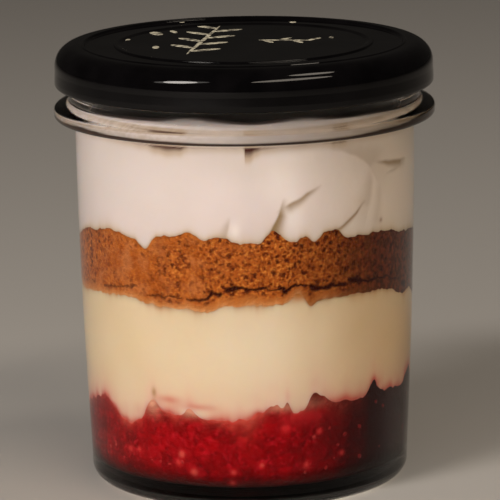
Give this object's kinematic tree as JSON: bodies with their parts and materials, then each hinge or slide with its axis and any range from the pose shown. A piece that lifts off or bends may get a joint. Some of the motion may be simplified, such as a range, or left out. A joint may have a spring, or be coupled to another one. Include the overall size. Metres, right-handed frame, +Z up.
{
  "type": "raspberry cheesecake dessert in a glass jar with a twist-off lid",
  "caption": "Layered dessert in a clear glass jar: raspberries, cheesecake cream, sponge cake and whipped cream under a glossy black twist-off lid.",
  "frame": {"origin": "middle of the jar's base, on the surface that it stands on", "axes": "+Z up along the jar's axis; the side first seen faces -Y"},
  "size_m": [0.0862, 0.0862, 0.1],
  "materials": {
    "glass_jar": "clear, smooth pressed glass",
    "raspberries": "deep red crushed raspberries, wet, with pale seeds",
    "cheesecake_cream": "smooth pale yellow cheesecake cream",
    "sponge_cake": "golden brown sponge with a fine open crumb",
    "whipped_cream": "smooth off-white whipped cream with spoon folds",
    "lid": "glossy black lacquered steel"
  },
  "bodies": {
    "root": {"glass_jar": "glass_jar", "raspberries": "raspberries", "cheesecake_cream": "cheesecake_cream", "sponge_cake": "sponge_cake", "whipped_cream": "whipped_cream", "lid": "lid"}
  },
  "joints": []
}
